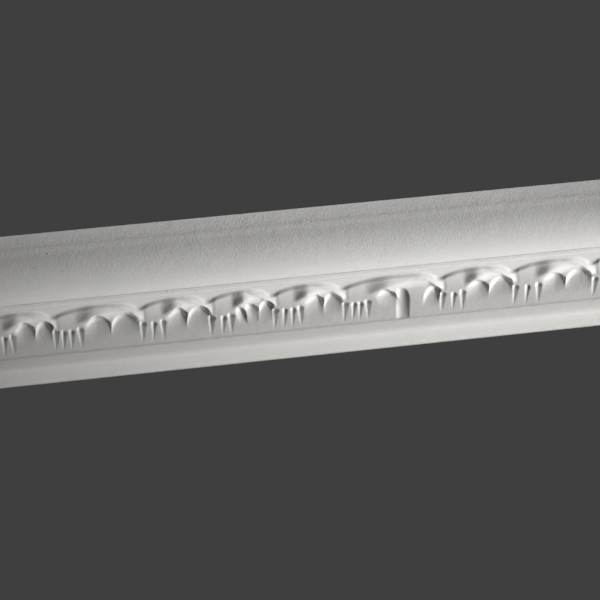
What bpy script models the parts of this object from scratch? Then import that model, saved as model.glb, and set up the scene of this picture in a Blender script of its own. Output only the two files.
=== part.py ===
"""Plaster cornice, cut square at both ends, with a carved leaf band above its wall fillet.

The run lies along X. The wall face is the plane Y = 0 and the room is on the -Y side. The ceiling
face is on top. Sizes are in millimetres, and MM turns them into metres.
"""

import math

import bmesh
import bpy
import numpy as np

MM = 0.001
NODE = "plaster_cornice"

# Driving sizes of the section, as (projection from the wall, drop below the ceiling).
LENGTH = 550.0
PROJECTION = 113.2
DROP = 75.5
RIM = 5.8  # thickness of the outer edge under the ceiling
CEILING_REACH = (58.0, 106.0)  # the flat that beds on the ceiling, near and far from the wall
WALL_REACH = (40.0, 68.8)  # the flat that beds on the wall, top and bottom
STRIP_END = (101.0, 6.8)
STRIP_BACK = (97.2, 6.6)
BEAD = (94.0, 7.1)
COVE_TOP = (86.7, 7.2)
COVE_HALF_AXES = (34.3, 17.4)
COVE_LIP = (51.9, 24.2)
QUIRK_END = (48.6, 26.2)
BAND_END = (16.3, 52.8)
BAND_PULL = ((48.6, 38.9), (40.8, 44.7))  # handles of the curve that the carved band follows
SOFFIT_END = (8.8, 54.1)
SCOTIA_END = (4.8, 56.8)
FILLET_END = (7.8, 71.4)
FOOT_FRONT = (8.2, 74.8)
FOOT_BACK = 7.2

# Heights of the carving, square out of the band, measured from the flat where the drops stand.
LEDGE = 2.6
CREST = 0.3
BLOCK = 0.0
RECESS = -4.9
LOBE = 3.1
DROP_RISE = 0.95
DROP_HEAD = 0.7  # how much higher a drop's head stands, as a share of its rise
BAR_RISE = 2.3

# Places down the face of the cornice, from its outer edge, seen square on.
LEDGE_HIGH, LEDGE_LOW, LEDGE_ROLL = 64.2, 71.6, 2.6
FLAT_TOP, ARC_RISE = 79.5, 5.5
GAP_FOOT, LOBE_FOOT = 90.0, 93.5
DROP_TOP, DROP_FOOT = 80.5, 98.8

# Places along the run. A cusp ends CUSP_FOOT past its leaf's tip and leans by CUSP_SWEEP, and the
# ramp up to it widens by RAMP_SPREAD for each millimetre higher.
CUSP_FOOT, CUSP_SWEEP = 4.4, 1.2
DEEP_SHARE = 0.34  # where a scoop is deepest, as a share of the way from its block to the next cusp
RAMP_FOOT, RAMP_SPREAD = 4.0, 0.95
WIDE_DROP, SLIM_DROP = 6.4, 4.5
END_TIP = 310.0
BAR_LEFT, BAR_RIGHT, BAR_TOP, BAR_BOTTOM = 77.4, 88.2, 74.2, 100.5

# Each leaf: the tip of its cusp along the run, how far it has sunk down the face, the right edge
# of its block, its drops, and its lobes as (left, head, right, top, lean). All but the tip and a
# lobe's top are measured along the run from the tip.
LEAVES = (
    (-275.0, 0.0, 17.5, (3.5, 12.5, 21.0, 28.0),
     ((28.0, 36.6, 45.4, 71.4, 0.0), (45.4, 54.4, 60.8, 72.0, 0.0))),
    (-214.5, 0.0, 18.3, (3.5, 10.0, 16.5, 24.0),
     ((26.0, 36.7, 48.2, 72.0, 0.0), (48.2, 60.0, 72.8, 72.4, 0.0))),
    (-141.5, 0.3, 18.1, (3.5, 12.5, 20.5),
     ((21.5, 33.6, 38.8, 72.0, 0.0), (38.8, 51.6, 60.5, 72.2, 0.0))),
    (-83.5, 2.2, 19.8, (3.5, 13.5, 20.0),
     ((22.0, 26.4, 29.2, 76.8, 4.0), (28.6, 34.7, 41.5, 74.6, 4.5), (42.2, 50.0, 56.0, 73.3, -1.0))),
    (-29.0, 0.6, 18.0, (3.5, 11.5, 18.5, 25.0),
     ((25.5, 38.2, 42.8, 73.0, 1.5), (43.0, 50.6, 61.0, 73.4, 0.0))),
    (31.0, 2.4, 20.0, (3.5, 11.0, 16.5, 23.0),
     ((25.0, 37.8, 43.0, 74.4, 12.0), (71.0, 80.2, 84.6, 75.5, -1.0))),
    (116.0, 2.2, 21.0, (3.5, 13.0, 21.0),
     ((22.5, 33.5, 41.9, 74.2, 0.5), (41.9, 54.6, 64.5, 73.0, 0.0))),
    (180.0, 2.6, 19.6, (3.5, 14.0, 24.0),
     ((26.0, 36.8, 45.9, 74.6, 0.0), (45.9, 59.0, 71.0, 73.3, 0.0))),
    (250.5, 2.4, 20.0, (3.5, 12.5, 21.0), ()),
)

BAND_ROWS, BAND_COLUMNS = 39, 501  # grid of the carved band before it is thinned
COVE_STEPS = 12
TRIANGLES = 9200


def ease(low, high, value):
    """A smooth step from 0 at low to 1 at high."""
    t = np.clip((value - low) / (high - low), 0.0, 1.0)
    return t * t * (3.0 - 2.0 * t)


def upper_section():
    """Points from the outer rim to the top of the carved band."""
    points = [(PROJECTION, RIM), STRIP_END, STRIP_BACK, BEAD]
    for step in range(COVE_STEPS + 1):
        angle = math.pi / 2 * step / COVE_STEPS
        points.append((
            COVE_TOP[0] - COVE_HALF_AXES[0] * math.sin(angle),
            COVE_TOP[1] + COVE_HALF_AXES[1] * (1.0 - math.cos(angle)),
        ))
    return points + [COVE_LIP]


def lower_section():
    """Points from under the carved band to the wall, then round the back to the ceiling rim."""
    scotia = (SOFFIT_END[0] / 3 + SCOTIA_END[0] * 2 / 3, SOFFIT_END[1] * 2 / 3 + SCOTIA_END[1] / 3)
    return [
        SOFFIT_END, scotia, SCOTIA_END, FILLET_END, FOOT_FRONT, (FOOT_BACK, DROP),
        (0.0, WALL_REACH[1]), (0.0, WALL_REACH[0]),
        (CEILING_REACH[0], 0.0), (CEILING_REACH[1], 0.0),
    ]


def band_curve():
    """The carved band's section without its carving, from the quirk to the soffit."""
    t = np.linspace(0.0, 1.0, BAND_ROWS)[:, None]
    a, b, c, d = (np.array(p) for p in (QUIRK_END, *BAND_PULL, BAND_END))
    return a * (1 - t) ** 3 + 3 * b * t * (1 - t) ** 2 + 3 * c * t * t * (1 - t) + d * t ** 3


def down_face(points):
    """How far down the face each point lies, seen square on from 45 degrees below."""
    return (PROJECTION - points[..., 0] + points[..., 1] - RIM) / math.sqrt(2.0)


def along_run(x, knots):
    """Heights that ease from knot to knot, each a place along the run and its height."""
    rise = np.full(x.shape, 1.0) * knots[0][1]
    for (x0, h0), (x1, h1) in zip(knots, knots[1:]):
        rise = np.where(x >= x0, h0 + (h1 - h0) * ease(x0, x1, x), rise)
    return rise


def crest_line(w, tip):
    """Where the crest of a leaf's cusp runs: upright under the ledge, swept back above its lip."""
    return tip + CUSP_FOOT - CUSP_SWEEP * np.maximum(LEDGE_LOW - w, 0.0)


def hollow(x, w, tip, block, following):
    """The ground under one arch: cusp, block, then a scoop that climbs a ramp to the next cusp."""
    level = CREST + (LEDGE - CREST) * ease(LEDGE_LOW - 1.5, LEDGE_HIGH, w)
    edge, crest = tip + block, crest_line(w, following)
    deep = edge + DEEP_SHARE * (following - edge)
    arc = FLAT_TOP - ARC_RISE * (ease(edge - 2.0, tip + 0.75 * (following - tip), x)
                                 - ease(following - 10.0, following, x))
    depth = RECESS * (0.5 + 0.5 * ease(LEDGE_HIGH, arc - 4.5, w)) * (1.0 - ease(arc - 4.0, arc + 1.0, w))
    ramp = crest - RAMP_FOOT - RAMP_SPREAD * np.maximum(FLAT_TOP - w, 0.0)
    return along_run(x, (
        (tip + CUSP_FOOT - 1.0, level), (tip + CUSP_FOOT + 2.5, BLOCK), (edge - 0.3, BLOCK),
        (deep, depth), (np.maximum(ramp, deep + 3.0), depth * 0.5), (crest, level),
    ))


def ledge_reach(x, tip, following):
    """How much lower than at the top of an arch the ledge comes around one cusp."""
    climb = np.clip((x - tip + 2.0) / (0.53 * (following - tip)), 0.0, 1.0)
    return (LEDGE_LOW - LEDGE_HIGH) * ease(tip - 9.0, tip + 2.5, x) * (1.0 - climb) ** 2


def bowed(share):
    """A bulge from 0 at its edge, steep there, to 1."""
    return np.sqrt(1.0 - (1.0 - np.clip(share, 0.0, 1.0)) ** 2)


def add_lobes(rise, x, w, tip, lobes):
    """Mounds with a long outer shoulder and a steep inner side, where a cleft parts them."""
    for number, (left, head, right, top, lean) in enumerate(lobes):
        last = number == len(lobes) - 1
        apart = x - tip - head - lean * np.clip((w - top) / (LOBE_FOOT - top), 0.0, 1.0)
        off = np.clip(np.where(apart < 0, -apart / (head - left), apart / (right - head)), 0.0, 1.0)
        steep = (apart < 0) == last
        gap = GAP_FOOT - top if last else (GAP_FOOT - top) * 0.6
        border = top + np.where(steep, gap * (1.0 - np.sqrt(1.0 - off ** 2)),
                                (FLAT_TOP - top) * ease(0.0, 1.0, off))
        shoulder = np.where(apart < 0, 1.0 - 0.5 * off - 0.5 * off ** 2, 1.0 - 0.35 * off - 0.65 * off ** 4)
        bulge = np.where(steep, 1.0 - (0.65 * off ** 4 if last else 0.5 * off ** 2), shoulder)
        body = LOBE * bulge * (1.0 - ease(top + 2.0, LOBE_FOOT, w))
        rise = np.where(off < 1.0, rise + (body - rise) * bowed((w - border) / 5.0), rise)
    return rise


def add_drop(rise, x, w, left, wide, top, foot, lean):
    """A drop: round at its top, drawn out to a point, steep on its left and soft on its right."""
    down = np.clip((w - top) / (foot - top), 0.0, 1.0)
    narrow = bowed(down / 0.12) * (1.0 - down) ** 0.8 + 1e-6
    ridge = left + 0.25 * wide + lean * down
    near = (ridge - x) / (0.25 * wide * narrow)
    far = np.clip((x - ridge) / (0.75 * wide * narrow), 0.0, 1.0)
    shape = np.where(x < ridge, bowed(1.0 - near), 1.0 - 0.8 * far - 0.2 * far ** 4)
    shape = np.where((w > top) & (w < foot), shape, 0.0)
    return rise + shape * DROP_RISE * (1.0 - down ** 2 + DROP_HEAD * (1.0 - ease(0.1, 0.3, down)))


def add_bar(rise, x, w):
    """The straight finger in the long leaf: a steep left side and a round right one."""
    wide = BAR_RIGHT - BAR_LEFT
    ridge = BAR_LEFT + 0.42 * wide
    off = np.where(x < ridge, (ridge - x) / 0.42, (x - ridge) / 0.58) / wide
    bar = np.where(x < ridge, 1.0 - off ** 2, 1.0 - 0.75 * off ** 2)
    bar = bar * bowed((w - BAR_TOP - 4.0 * off ** 2) / 7.0)
    bar = bar * (1.0 - 0.4 * ease(BAR_TOP + 6.0, BAR_BOTTOM, w))
    return np.where((w < BAR_BOTTOM) & (off < 1.0), rise + np.maximum(BAR_RISE - rise, 0.0) * bar, rise)


def carving(x, w):
    """Height of the carving at places x along the run and w down the face."""
    tips = [leaf[0] for leaf in LEAVES] + [END_TIP]
    rise = np.zeros(x.shape)
    edge = np.full(x.shape, LEDGE_HIGH)
    for (tip, sink, block, drops, lobes), following in zip(LEAVES, tips[1:]):
        mine = (x >= crest_line(w, tip)) & (x < crest_line(w, following))
        rise = np.where(mine, hollow(x, w, tip, block, following), rise)
        edge = edge + ledge_reach(x, tip, following)
    rise = rise + (LEDGE - rise) * ease(LEDGE_ROLL, -LEDGE_ROLL, w - edge)
    rise = rise * (1.0 - ease(FLAT_TOP - 0.8, FLAT_TOP + 1.2, w))
    for tip, sink, block, drops, lobes in LEAVES:
        rise = add_lobes(rise, x, w, tip, lobes)
        for number, offset in enumerate(drops):
            slim = 0 < number < len(drops) - 1
            wide = SLIM_DROP if slim else WIDE_DROP
            rise = add_drop(rise, x, w, tip + offset - wide / 2 - 0.4, wide,
                            DROP_TOP + sink * 0.5 + 1.2 * slim, DROP_FOOT + sink * 0.3,
                            0.5 * number - 0.9 - slim)
    rise = add_bar(rise, x, w)
    top, bottom = down_face(np.array(QUIRK_END)), down_face(np.array(BAND_END))
    return rise * ease(top, top + 0.9, w) * (1.0 - ease(bottom - 1.4, bottom, w))


def place(x, point):
    """A vertex from a place along the run and a (projection, drop) of the section, in metres."""
    middle_of_wall_face = sum(WALL_REACH) / 2
    return (x * MM, -point[0] * MM, (middle_of_wall_face - point[1]) * MM)


def build_mesh():
    """The whole casting as one closed mesh: a fine grid on the band, long strips elsewhere."""
    half = LENGTH / 2
    columns = np.linspace(-half, half, BAND_COLUMNS)
    curve = band_curve()
    relief = carving(*np.meshgrid(columns, down_face(curve)))
    out = np.array((1.0, 1.0)) / math.sqrt(2.0)

    mesh = bmesh.new()
    band = []
    for row, base in enumerate(curve):
        band.append([mesh.verts.new(place(x, base + out * relief[row, i]))
                     for i, x in enumerate(columns)])
    plain = [[mesh.verts.new(place(x, p)) for x in (-half, half)] for p in upper_section()]
    under = [[mesh.verts.new(place(x, p)) for x in (-half, half)] for p in lower_section()]
    rows = plain + band + under
    for upper, lower in zip(rows, rows[1:] + rows[:1]):
        if len(upper) == len(lower) and len(upper) > 2:
            for i in range(len(upper) - 1):
                mesh.faces.new((upper[i], upper[i + 1], lower[i + 1], lower[i]))
        else:
            mesh.faces.new(upper + lower[::-1])
    mesh.faces.new([row[0] for row in rows])
    mesh.faces.new([row[-1] for row in rows])
    bmesh.ops.triangulate(mesh, faces=mesh.faces[:])
    bmesh.ops.recalc_face_normals(mesh, faces=mesh.faces[:])
    return mesh


def plaster():
    """Plaster under old white paint."""
    material = bpy.data.materials.new("painted_plaster")
    material.use_nodes = True
    shader = material.node_tree.nodes["Principled BSDF"]
    shader.inputs["Base Color"].default_value = (0.80, 0.79, 0.77, 1.0)
    shader.inputs["Roughness"].default_value = 0.62
    shader.inputs["Metallic"].default_value = 0.0
    return material


def build_cornice():
    mesh = build_mesh()
    data = bpy.data.meshes.new(NODE)
    mesh.to_mesh(data)
    mesh.free()
    data.materials.append(plaster())
    cornice = bpy.data.objects.new(NODE, data)
    bpy.context.collection.objects.link(cornice)
    thin = cornice.modifiers.new("thin", "DECIMATE")
    thin.ratio = TRIANGLES / len(data.polygons)


def clear_scene():
    for thing in list(bpy.data.objects):
        bpy.data.objects.remove(thing, do_unlink=True)


clear_scene()
build_cornice()
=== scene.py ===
"""Plaster cornice with a carved leaf band: its modelled surface, old white paint, studio and camera."""

import math

import bmesh
import bpy
import numpy as np
from mathutils import Matrix, Vector


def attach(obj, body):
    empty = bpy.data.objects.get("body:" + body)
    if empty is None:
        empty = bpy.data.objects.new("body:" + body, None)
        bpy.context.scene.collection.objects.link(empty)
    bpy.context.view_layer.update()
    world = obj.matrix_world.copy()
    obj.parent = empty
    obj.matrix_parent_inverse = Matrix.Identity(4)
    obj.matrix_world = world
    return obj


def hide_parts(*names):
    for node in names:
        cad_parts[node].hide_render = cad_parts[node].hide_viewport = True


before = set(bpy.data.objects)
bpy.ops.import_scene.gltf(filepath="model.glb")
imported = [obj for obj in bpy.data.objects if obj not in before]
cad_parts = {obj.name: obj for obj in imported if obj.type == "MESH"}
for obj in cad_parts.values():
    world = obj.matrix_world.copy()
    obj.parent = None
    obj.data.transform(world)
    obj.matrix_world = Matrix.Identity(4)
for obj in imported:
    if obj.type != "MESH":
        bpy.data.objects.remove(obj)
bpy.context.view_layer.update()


# The casting. The real piece is one length of cast plaster: a strip under the ceiling, a bead, a
# wide shallow cove, then a band of leaves pressed by hand above a plain fillet on the wall. Both
# ends are sawn square and it is stuck to wall and ceiling by the two flats at its back.

# Its section, as (projection from the wall, drop from the ceiling), in mm like all its sizes.
MM = 0.001
LENGTH = 550.0
PROJECTION, RIM = 113.2, 5.8
STRIP_AND_BEAD = [(105.0, 6.6), (101.0, 6.8), (98.6, 6.75), (97.2, 6.6), (94.0, 7.1), (90.0, 7.2)]
COVE_TOP, COVE_HALF_AXES, COVE_STEPS, COVE_LIP = (86.7, 7.2), (34.3, 17.4), 28, (51.9, 24.2)
QUIRK_END, BAND_END = (48.6, 26.2), (16.3, 52.8)
BAND_PULL = ((48.6, 38.9), (40.8, 44.7))
SCOTIA = [(8.8, 54.1), (7.0, 54.6), (5.7, 55.5), (4.8, 56.8)]
FILLET_AND_FOOT = [(7.8, 71.4), (7.5, 71.8), (7.8, 72.2), (8.2, 74.8), (7.8, 75.3), (7.2, 75.5)]
WALL_REACH, CEILING_REACH = (40.0, 68.8), (58.0, 106.0)
BEDS = [(0.0, WALL_REACH[1]), (0.0, WALL_REACH[0]), (CEILING_REACH[0], 0.0), (CEILING_REACH[1], 0.0)]
WALL_MIDDLE = sum(WALL_REACH) / 2
BAND_ROWS, BAND_COLUMNS = 88, 1030
OUT_OF_FACE = Vector((0.0, -1.0, -1.0)).normalized()


def at(projection, drop):
    """The place of a section point at the middle of the run, in metres."""
    return Vector((0.0, -projection * MM, (WALL_MIDDLE - drop) * MM))


def cove_points(steps):
    """A quarter of an ellipse, level under the ceiling and upright at its lower end."""
    for step in range(steps + 1):
        angle = math.pi / 2 * step / steps
        yield (COVE_TOP[0] - COVE_HALF_AXES[0] * math.sin(angle),
               COVE_TOP[1] + COVE_HALF_AXES[1] * (1.0 - math.cos(angle)))


def band_points(rows):
    """The curve that the leaves are pressed on, from the quirk under the cove to the soffit."""
    for row in range(rows):
        t = row / (rows - 1)
        a, b, c, d = (Vector(p) for p in (QUIRK_END, *BAND_PULL, BAND_END))
        yield tuple(a * (1 - t) ** 3 + b * 3 * t * (1 - t) ** 2 + c * 3 * t * t * (1 - t) + d * t ** 3)


def down_face(projection, drop):
    """How far down the face a section point lies, seen square on from 45 degrees below."""
    return (PROJECTION - projection + drop - RIM) / math.sqrt(2.0)


# The leaves. Each has the tip of its cusp along the run, how far it has sunk down the face, the
# right edge of its block, its drops, and its lobes as (left, head, right, top, lean). All but the
# tip and a lobe's top are measured along the run from the tip.
LEAVES = (
    (-275.0, 0.0, 17.5, (3.5, 12.5, 21.0, 28.0),
     ((28.0, 36.6, 45.4, 71.4, 0.0), (45.4, 54.4, 60.8, 72.0, 0.0))),
    (-214.5, 0.0, 18.3, (3.5, 10.0, 16.5, 24.0),
     ((26.0, 36.7, 48.2, 72.0, 0.0), (48.2, 60.0, 72.8, 72.4, 0.0))),
    (-141.5, 0.3, 18.1, (3.5, 12.5, 20.5),
     ((21.5, 33.6, 38.8, 72.0, 0.0), (38.8, 51.6, 60.5, 72.2, 0.0))),
    (-83.5, 2.2, 19.8, (3.5, 13.5, 20.0),
     ((22.0, 26.4, 29.2, 76.8, 4.0), (28.6, 34.7, 41.5, 74.6, 4.5), (42.2, 50.0, 56.0, 73.3, -1.0))),
    (-29.0, 0.6, 18.0, (3.5, 11.5, 18.5, 25.0),
     ((25.5, 38.2, 42.8, 73.0, 1.5), (43.0, 50.6, 61.0, 73.4, 0.0))),
    (31.0, 2.4, 20.0, (3.5, 11.0, 16.5, 23.0),
     ((25.0, 37.8, 43.0, 74.4, 12.0), (71.0, 80.2, 84.6, 75.5, -1.0))),
    (116.0, 2.2, 21.0, (3.5, 13.0, 21.0),
     ((22.5, 33.5, 41.9, 74.2, 0.5), (41.9, 54.6, 64.5, 73.0, 0.0))),
    (180.0, 2.6, 19.6, (3.5, 14.0, 24.0),
     ((26.0, 36.8, 45.9, 74.6, 0.0), (45.9, 59.0, 71.0, 73.3, 0.0))),
    (250.5, 2.4, 20.0, (3.5, 12.5, 21.0), ()),
)
END_TIP = 310.0


def ease(low, high, value):
    """From 0 at low to 1 at high, level at both."""
    t = np.clip((value - low) / (high - low), 0.0, 1.0)
    return t * t * (3.0 - 2.0 * t)


def bowed(share):
    """A bulge from 0 at its edge, steep there, to 1."""
    return np.sqrt(1.0 - (1.0 - np.clip(share, 0.0, 1.0)) ** 2)


def along_run(x, knots):
    """Heights that ease from knot to knot, each a place along the run and its height."""
    rise = np.full(x.shape, 1.0) * knots[0][1]
    for (x0, h0), (x1, h1) in zip(knots, knots[1:]):
        rise = np.where(x >= x0, h0 + (h1 - h0) * ease(x0, x1, x), rise)
    return rise


# The ledge that arches over each leaf. Places down the face are from its outer edge, and heights
# are square out of the flat where the drops stand. It comes down across LEDGE_REACHES, before and
# after a tip, and climbs again over CLIMB_SHARE of the leaf.
LEDGE, LEDGE_ROLL, LEDGE_LOW, LEDGE_HIGH = 2.6, 2.6, 71.6, 64.2
LEDGE_REACHES, CLIMB_FROM, CLIMB_SHARE = (9.0, 2.5), 2.0, 0.53


def ledge_reach(x, tip, following):
    """How much lower than at the top of an arch the ledge comes around one cusp."""
    climb = np.clip((x - tip + CLIMB_FROM) / (CLIMB_SHARE * (following - tip)), 0.0, 1.0)
    nearing = ease(tip - LEDGE_REACHES[0], tip + LEDGE_REACHES[1], x)
    return (LEDGE_LOW - LEDGE_HIGH) * nearing * (1.0 - climb) ** 2


# The hollow under each arch: its cusp, the flat block beside it, the scoop, which is deepest at
# DEEP_SHARE of the way to the next cusp, and the ramp out of it. ROOF_SHARE and FOOT_SHARE are how
# deep it is under the ledge and at the ramp's foot. Its lower edge is an arc above the drops.
CREST, BLOCK, RECESS = 0.3, 0.0, -4.9
CUSP_FOOT, CUSP_SWEEP, CUSP_SIDES, CREST_BLEND = 4.4, 1.2, (1.0, 2.5), 1.5
BLOCK_EDGE, DEEP_SHARE, ROOF_SHARE, FOOT_SHARE = 0.3, 0.34, 0.5, 0.5
RAMP_FOOT, RAMP_SPREAD, SHORTEST_FLOOR = 4.0, 0.95, 3.0
FLAT_TOP, FLAT_BLEND = 79.5, (0.8, 1.2)
ARC_RISE, ARC_BEFORE, ARC_PEAK, ARC_AFTER = 5.5, 2.0, 0.75, 10.0
ARC_DEEP, ARC_SLOPE = 4.5, (4.0, 1.0)


def crest_line(w, tip):
    """Where the crest of a leaf's cusp runs: upright under the ledge, swept back above its lip."""
    return tip + CUSP_FOOT - CUSP_SWEEP * np.maximum(LEDGE_LOW - w, 0.0)


def hollow(x, w, tip, block, following):
    """The ground under one arch: cusp, block, then a scoop that climbs a ramp to the next cusp."""
    level = CREST + (LEDGE - CREST) * ease(LEDGE_LOW - CREST_BLEND, LEDGE_HIGH, w)
    edge, crest = tip + block, crest_line(w, following)
    deep = edge + DEEP_SHARE * (following - edge)
    arc = FLAT_TOP - ARC_RISE * (ease(edge - ARC_BEFORE, tip + ARC_PEAK * (following - tip), x)
                                 - ease(following - ARC_AFTER, following, x))
    depth = RECESS * (ROOF_SHARE + (1.0 - ROOF_SHARE) * ease(LEDGE_HIGH, arc - ARC_DEEP, w))
    depth = depth * (1.0 - ease(arc - ARC_SLOPE[0], arc + ARC_SLOPE[1], w))
    ramp = crest - RAMP_FOOT - RAMP_SPREAD * np.maximum(FLAT_TOP - w, 0.0)
    return along_run(x, (
        (tip + CUSP_FOOT - CUSP_SIDES[0], level), (tip + CUSP_FOOT + CUSP_SIDES[1], BLOCK),
        (edge - BLOCK_EDGE, BLOCK), (deep, depth),
        (np.maximum(ramp, deep + SHORTEST_FLOOR), depth * FOOT_SHARE), (crest, level),
    ))


# The lobes. The last one of a leaf is steep on its left, and the others on their right, where a
# cleft parts them. CLEFT_SHARE is how far the cleft beside the others reaches down.
LOBE, LOBE_FOOT, LOBE_ROLL, LOBE_CROWN = 3.1, 93.5, 5.0, 2.0
GAP_FOOT, CLEFT_SHARE = 90.0, 0.6
INNER_FALL, LAST_INNER_FALL = 0.5, 0.65
LEFT_FALL, RIGHT_FALL = (0.5, 0.5), (0.35, 0.65)


def add_lobes(rise, x, w, tip, lobes):
    """Mounds with a long outer shoulder and a steep inner side, where a cleft parts them."""
    for number, (left, head, right, top, lean) in enumerate(lobes):
        last = number == len(lobes) - 1
        apart = x - tip - head - lean * np.clip((w - top) / (LOBE_FOOT - top), 0.0, 1.0)
        off = np.clip(np.where(apart < 0, -apart / (head - left), apart / (right - head)), 0.0, 1.0)
        steep = (apart < 0) == last
        gap = GAP_FOOT - top if last else (GAP_FOOT - top) * CLEFT_SHARE
        border = top + np.where(steep, gap * (1.0 - np.sqrt(1.0 - off ** 2)),
                                (FLAT_TOP - top) * ease(0.0, 1.0, off))
        shoulder = np.where(apart < 0, 1.0 - LEFT_FALL[0] * off - LEFT_FALL[1] * off ** 2,
                            1.0 - RIGHT_FALL[0] * off - RIGHT_FALL[1] * off ** 4)
        inner = 1.0 - (LAST_INNER_FALL * off ** 4 if last else INNER_FALL * off ** 2)
        body = LOBE * np.where(steep, inner, shoulder) * (1.0 - ease(top + LOBE_CROWN, LOBE_FOOT, w))
        rise = np.where(off < 1.0, rise + (body - rise) * bowed((w - border) / LOBE_ROLL), rise)
    return rise


# The drops, pointed downwards. The first and last of a leaf are wide and the others slim. Each
# leans DROP_FAN more to the right than the one before it, and a slim one SLIM_LEAN less. A sunk
# leaf carries the tops and the points of its drops down by the two shares in DROP_SINK.
DROP_RISE, DROP_TOP, DROP_FOOT = 0.95, 80.5, 98.8
WIDE_DROP, SLIM_DROP, SLIM_LOWER, DROP_SINK = 6.4, 4.5, 1.2, (0.5, 0.3)
DROP_SHIFT, DROP_FAN, DROP_LEAN, SLIM_LEAN = 0.4, 0.5, 0.9, 1.0
DROP_RIDGE, DROP_ROUND, DROP_TAPER, DROP_FALL = 0.25, 0.12, 0.8, (0.8, 0.2)
DROP_HEAD, HEAD_REACH = 0.7, (0.1, 0.3)
NEVER_ZERO = 1e-6


def add_drop(rise, x, w, left, wide, top, foot, lean):
    """A drop: round at its top, drawn out to a point, steep on its left and soft on its right."""
    down = np.clip((w - top) / (foot - top), 0.0, 1.0)
    narrow = bowed(down / DROP_ROUND) * (1.0 - down) ** DROP_TAPER + NEVER_ZERO
    ridge = left + DROP_RIDGE * wide + lean * down
    near = (ridge - x) / (DROP_RIDGE * wide * narrow)
    far = np.clip((x - ridge) / ((1.0 - DROP_RIDGE) * wide * narrow), 0.0, 1.0)
    shape = np.where(x < ridge, bowed(1.0 - near), 1.0 - DROP_FALL[0] * far - DROP_FALL[1] * far ** 4)
    shape = np.where((w > top) & (w < foot), shape, 0.0)
    return rise + shape * DROP_RISE * (1.0 - down ** 2 + DROP_HEAD * (1.0 - ease(*HEAD_REACH, down)))


def add_drops(rise, x, w, tip, sink, drops):
    """The row of drops of one leaf."""
    for number, offset in enumerate(drops):
        slim = 0 < number < len(drops) - 1
        wide = SLIM_DROP if slim else WIDE_DROP
        rise = add_drop(rise, x, w, tip + offset - wide / 2 - DROP_SHIFT, wide,
                        DROP_TOP + sink * DROP_SINK[0] + SLIM_LOWER * slim, DROP_FOOT + sink * DROP_SINK[1],
                        DROP_FAN * number - DROP_LEAN - SLIM_LEAN * slim)
    return rise


# The one upright bar, between the lobes of the longest leaf, with its ridge left of its middle.
BAR_LEFT, BAR_RIGHT, BAR_TOP, BAR_BOTTOM, BAR_RISE = 77.4, 88.2, 74.2, 100.5, 2.3
BAR_RIDGE, BAR_RIGHT_FALL, BAR_ROUND, BAR_ROLL = 0.42, 0.75, 4.0, 7.0
BAR_FADE, BAR_FADE_FROM = 0.4, 6.0


def add_bar(rise, x, w):
    """The bar: steep on its left, round on its right, fading towards its foot."""
    wide = BAR_RIGHT - BAR_LEFT
    ridge = BAR_LEFT + BAR_RIDGE * wide
    off = np.where(x < ridge, (ridge - x) / BAR_RIDGE, (x - ridge) / (1.0 - BAR_RIDGE)) / wide
    bar = np.where(x < ridge, 1.0 - off ** 2, 1.0 - BAR_RIGHT_FALL * off ** 2)
    bar = bar * bowed((w - BAR_TOP - BAR_ROUND * off ** 2) / BAR_ROLL)
    bar = bar * (1.0 - BAR_FADE * ease(BAR_TOP + BAR_FADE_FROM, BAR_BOTTOM, w))
    return np.where((w < BAR_BOTTOM) & (off < 1.0), rise + np.maximum(BAR_RISE - rise, 0.0) * bar, rise)


# The band closes with a scored line above the soffit, and it starts flush under the quirk.
LINE, LINE_WIDE, QUIRK_BLEND = -1.0, 1.4, (0.4, 2.2)


def carving(x, w):
    """Height of the carving in mm at places x along the run and w down the face."""
    tips = [leaf[0] for leaf in LEAVES] + [END_TIP]
    rise = np.full(x.shape, 0.0)
    edge = np.full(x.shape, float(LEDGE_HIGH))
    for (tip, sink, block, drops, lobes), following in zip(LEAVES, tips[1:]):
        mine = (x >= crest_line(w, tip)) & (x < crest_line(w, following))
        rise = np.where(mine, hollow(x, w, tip, block, following), rise)
        edge = edge + ledge_reach(x, tip, following)
    rise = rise + (LEDGE - rise) * ease(LEDGE_ROLL, -LEDGE_ROLL, w - edge)
    rise = rise * (1.0 - ease(FLAT_TOP - FLAT_BLEND[0], FLAT_TOP + FLAT_BLEND[1], w))
    for tip, sink, block, drops, lobes in LEAVES:
        rise = add_lobes(rise, x, w, tip, lobes)
        rise = add_drops(rise, x, w, tip, sink, drops)
    rise = add_bar(rise, x, w)
    top, bottom = down_face(*QUIRK_END), down_face(*BAND_END)
    closed = ease(bottom - LINE_WIDE, bottom, w)
    opened = ease(top + QUIRK_BLEND[0], top + QUIRK_BLEND[1], w)
    return rise * opened * (1.0 - closed) + LINE * closed


# The section is extruded from one end to the other, its band is cut into fine columns, and the
# carving pushes those straight out of the face.
SOFTENING_PASSES, SOFTENING = 3, 0.5
END_FACE, CREASE, TOUCHING = 0.99, math.radians(25), 1e-4

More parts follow.
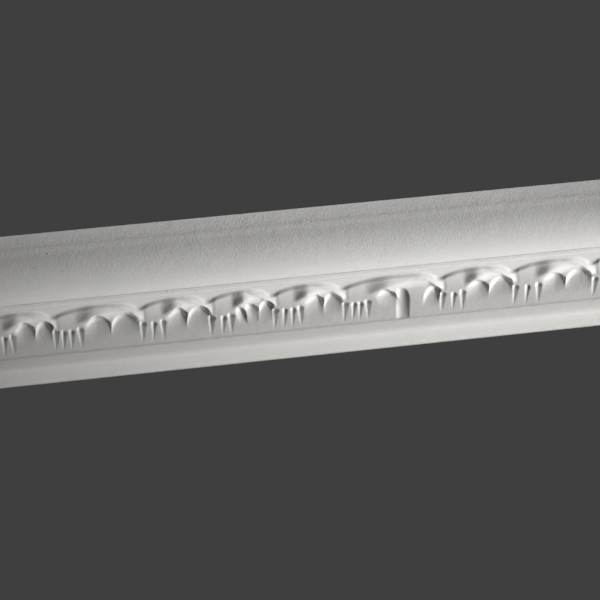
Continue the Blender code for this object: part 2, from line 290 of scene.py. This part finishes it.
casting = bmesh.new()
down_layer = casting.verts.layers.float.new("down")
front = [(PROJECTION, RIM), *STRIP_AND_BEAD, *cove_points(COVE_STEPS), COVE_LIP]
band = list(band_points(BAND_ROWS))
ring = []
for point in front + band + SCOTIA + FILLET_AND_FOOT + BEDS:
    vertex = casting.verts.new(at(*point) - Vector((LENGTH / 2 * MM, 0, 0)))
    vertex[down_layer] = down_face(*point) if point in band else 0.0
    ring.append(vertex)
near_end = casting.faces.new(ring)
swept = bmesh.ops.extrude_face_region(casting, geom=[near_end])
far_end = [v for v in swept["geom"] if isinstance(v, bmesh.types.BMVert)]
bmesh.ops.translate(casting, verts=far_end, vec=(LENGTH * MM, 0, 0))
runs = [e for e in casting.edges
        if e.verts[0][down_layer] > 0 and e.verts[1][down_layer] > 0
        and abs(e.verts[0].co.x - e.verts[1].co.x) > LENGTH / 2 * MM]
bmesh.ops.subdivide_edges(casting, edges=runs, cuts=BAND_COLUMNS - 1, use_grid_fill=False)
on_band = [v for v in casting.verts if v[down_layer] > 0]
along = np.array([v.co.x for v in on_band]) / MM
below = np.array([v[down_layer] for v in on_band])
for vertex, rise in zip(on_band, carving(along, below)):
    vertex.co += OUT_OF_FACE * float(rise) * MM
inner = [v for v in on_band if len(v.link_faces) == 4]
for softening in range(SOFTENING_PASSES):
    bmesh.ops.smooth_vert(casting, verts=inner, factor=SOFTENING, use_axis_y=True, use_axis_z=True)
bmesh.ops.recalc_face_normals(casting, faces=casting.faces[:])
for face in casting.faces:
    face.smooth = abs(face.normal.x) < END_FACE
border = (down_face(*QUIRK_END), down_face(*BAND_END))
for edge in casting.edges:
    inside_band = edge.verts[0][down_layer] > 0 and edge.verts[1][down_layer] > 0
    if len(edge.link_faces) == 2 and edge.calc_face_angle() > CREASE and not inside_band:
        edge.smooth = False
    if all(min(abs(v[down_layer] - b) for b in border) < TOUCHING for v in edge.verts):
        edge.smooth = False
mesh = bpy.data.meshes.new("plaster_casting")
casting.to_mesh(mesh)
casting.free()
piece = bpy.data.objects.new("plaster_casting", mesh)
bpy.context.collection.objects.link(piece)


class Value:
    """A socket in a material, so that its maths can be written as an expression."""

    def __init__(self, finish, socket):
        self.finish, self.socket = finish, socket

    def _maths(self, operation, first, second):
        return self.finish.node("ShaderNodeMath", {"operation": operation}, {0: first, 1: second})

    def __add__(self, other):
        return self._maths("ADD", self, other)

    def __sub__(self, other):
        return self._maths("SUBTRACT", self, other)

    def __rsub__(self, other):
        return self._maths("SUBTRACT", other, self)

    def __mul__(self, other):
        return self._maths("MULTIPLY", self, other)

    __radd__, __rmul__ = __add__, __mul__


class Finish:
    """A material's nodes, added one at a time."""

    def __init__(self, name):
        self.material = bpy.data.materials.new(name)
        self.material.use_nodes = True
        self.tree = self.material.node_tree
        self.shader = self.tree.nodes["Principled BSDF"]

    def node(self, kind, settings=(), sockets=(), output=0):
        made = self.tree.nodes.new(kind)
        for name, value in dict(settings).items():
            setattr(made, name, value)
        self.feed(made, sockets)
        return Value(self, made.outputs[output])

    def feed(self, made, sockets):
        for name, value in dict(sockets).items():
            if isinstance(value, Value):
                self.tree.links.new(value.socket, made.inputs[name])
            else:
                made.inputs[name].default_value = value


# Old white paint on the plaster: it sways and has lumps and grain, and shows a few pinholes, dented in by
# the bump and darkened in colour as painted shade inside them, each given as (place along the run,
# projection, drop, radius).
PAINT_LOW, PAINT_HIGH = (0.755, 0.745, 0.725, 1.0), (0.845, 0.835, 0.815, 1.0)
PIT_SHADE_COLOUR, PIT_SHADE_STRENGTH, PIT_CORE, PIT_DEPTH = (0.30, 0.29, 0.27, 1.0), 0.75, 0.4, 0.6
SWAY_SCALE, GRAIN_SCALE, LUMP_SCALE = 22.0, 620.0, 160.0
SWAY_HEIGHT, GRAIN_HEIGHT, LUMP_HEIGHT, GRAIN_TONE, LUMP_TONE = 0.9, 0.4, 0.35, 0.5, 0.5
PAINT_ROUGHNESS, BUMP_STRENGTH, BUMP_DISTANCE = 0.6, 0.5, 0.001
PINHOLES = (
    (-211.3, 90.8, 7.1, 1.0), (-224.3, 76.8, 7.9, 0.6), (-201.2, 71.2, 9.1, 0.6), (-91.3, 49.3, 25.8, 0.9),
    (-116.0, 50.8, 24.9, 0.7), (-110.5, 50.8, 24.9, 0.7), (51.0, 62.0, 12.0, 0.5), (140.0, 66.0, 10.7, 0.5),
    (-60.0, 70.0, 9.4, 0.5), (-160.0, 6.8, 66.0, 0.5), (88.0, 7.2, 69.0, 0.5),
)

paint = Finish("painted_plaster")
place = paint.node("ShaderNodeTexCoord", output="Object")
sway = paint.node("ShaderNodeTexNoise", {}, {"Vector": place, "Scale": SWAY_SCALE, "Detail": 2.0})
grain = paint.node("ShaderNodeTexNoise", {}, {"Vector": place, "Scale": GRAIN_SCALE, "Detail": 3.0})
lumps = paint.node("ShaderNodeTexNoise", {}, {"Vector": place, "Scale": LUMP_SCALE, "Detail": 3.0})
pits = 0.0
for x, projection, drop, size in PINHOLES:
    away = paint.node("ShaderNodeVectorMath", {"operation": "DISTANCE"},
                      {0: place, 1: at(projection, drop) + Vector((x * MM, 0, 0))}, output="Value")
    pits = paint.node("ShaderNodeMapRange", {"interpolation_type": "SMOOTHSTEP"},
                      {"Value": away, "From Min": size * MM, "From Max": size * MM * PIT_CORE}) + pits
height = sway * SWAY_HEIGHT + lumps * LUMP_HEIGHT + grain * GRAIN_HEIGHT - pits * PIT_DEPTH
bump = paint.node("ShaderNodeBump", {}, {
    "Height": height, "Strength": BUMP_STRENGTH, "Distance": BUMP_DISTANCE,
})
tone = paint.node("ShaderNodeMix", {"data_type": "RGBA"}, {
    "Factor": grain * GRAIN_TONE + lumps * LUMP_TONE, "A": PAINT_LOW, "B": PAINT_HIGH,
}, output="Result")
# Painted shade: the colour is darkened inside the pinholes for the shade that falls in them.
pit_shaded_tone = paint.node("ShaderNodeMix", {"data_type": "RGBA"}, {
    "Factor": pits * PIT_SHADE_STRENGTH, "A": tone, "B": PIT_SHADE_COLOUR,
}, output="Result")
paint.feed(paint.shader, {"Base Color": pit_shaded_tone, "Roughness": PAINT_ROUGHNESS, "Normal": bump})
mesh.materials.append(paint.material)

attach(piece, "root")
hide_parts("plaster_cornice")


# The studio: a pale floor well below the cornice, a pale surround and soft lamps. The key stands at
# the left of the run, a broad fill in front, and two weak lamps behind light the top and the back.

FLOOR_HALF, FLOOR_HEIGHT = 6.0, -1.5
FLOOR_COLOUR, FLOOR_ROUGHNESS = (0.8, 0.8, 0.8, 1.0), 0.9
SURROUND_COLOUR, SURROUND_STRENGTH = (0.9, 0.9, 0.9, 1.0), 0.055

floor_mesh = bpy.data.meshes.new("studio_floor")
floor_grid = bmesh.new()
bmesh.ops.create_grid(floor_grid, x_segments=1, y_segments=1, size=FLOOR_HALF,
                      matrix=Matrix.Translation((0.0, 0.0, FLOOR_HEIGHT)))
floor_grid.to_mesh(floor_mesh)
floor_grid.free()
floor = bpy.data.objects.new("studio_floor", floor_mesh)
bpy.context.collection.objects.link(floor)
pale = Finish("studio_pale")
pale.feed(pale.shader, {"Base Color": FLOOR_COLOUR, "Roughness": FLOOR_ROUGHNESS})
floor_mesh.materials.append(pale.material)

world = bpy.data.worlds.new("studio")
world.use_nodes = True
world.node_tree.nodes["Background"].inputs["Color"].default_value = SURROUND_COLOUR
world.node_tree.nodes["Background"].inputs["Strength"].default_value = SURROUND_STRENGTH
bpy.context.scene.world = world

FACE_IN = Vector((0.0, 1.0, 1.0)).normalized()
FACE_UP = Vector((0.0, -1.0, 1.0)).normalized()
RUN = Vector((1.0, 0.0, 0.0))
FACE_MIDDLE = at(45.7, 38.9)


def aim(thing, where, target, up):
    """Puts a lamp or camera somewhere, looking at the target, with the given up direction."""
    look = (target - where).normalized()
    side = look.cross(up).normalized()
    turn = Matrix((side, side.cross(look), -look)).transposed()
    thing.matrix_world = Matrix.Translation(where) @ turn.to_4x4()


def lamp(name, toward, distance, size, power, spread=math.pi, aim_along=0.0, aim_up=0.0):
    """A round lamp, toward which the face looks by (side, up, out), aimed at or near its middle."""
    data = bpy.data.lights.new(name, "AREA")
    data.shape, data.size, data.energy, data.spread = "DISK", size, power, spread
    thing = bpy.data.objects.new(name, data)
    bpy.context.collection.objects.link(thing)
    side, up, out = toward
    where = FACE_MIDDLE + (RUN * side + FACE_UP * up - FACE_IN * out).normalized() * distance
    aim(thing, where, FACE_MIDDLE + RUN * aim_along + FACE_UP * aim_up, FACE_UP)


lamp("key", (-0.86, 0.20, 0.46), 2.2, 0.45, 1.95, math.radians(22), aim_along=0.47, aim_up=0.02)
lamp("fill", (0.5, 0.0, 1.0), 2.4, 1.5, 0.1)
lamp("top", (0.2, 0.6, -0.8), 2.2, 0.45, 0.45, math.radians(24))
lamp("back", (-0.2, -0.6, -0.8), 2.2, 0.45, 0.45, math.radians(24))


# The camera: it looks up at the face from 45 degrees below, turned a little along the run, so that
# the left end is nearer, and rolled, so that the run climbs to the right.

CAMERA_DISTANCE = 1.2
CAMERA_TURN = math.radians(5.2)
CAMERA_ROLL = math.radians(5.8)
CAMERA_LENS, CAMERA_SENSOR = 84.7, 36.0
AIM_RIGHT, AIM_DOWN = -5.0 * MM, 4.9 * MM

look = RUN * math.sin(CAMERA_TURN) + FACE_IN * math.cos(CAMERA_TURN)
level = look.cross(FACE_UP).normalized()
up = FACE_UP * math.cos(CAMERA_ROLL) + level * math.sin(CAMERA_ROLL)
camera = bpy.data.objects.new("camera", bpy.data.cameras.new("camera"))
camera.data.lens, camera.data.sensor_width = CAMERA_LENS, CAMERA_SENSOR
bpy.context.collection.objects.link(camera)
target = FACE_MIDDLE + RUN * AIM_RIGHT - FACE_UP * AIM_DOWN
aim(camera, target - look * CAMERA_DISTANCE, target, up)
bpy.context.scene.camera = camera
bpy.context.scene.view_settings.view_transform = "Standard"
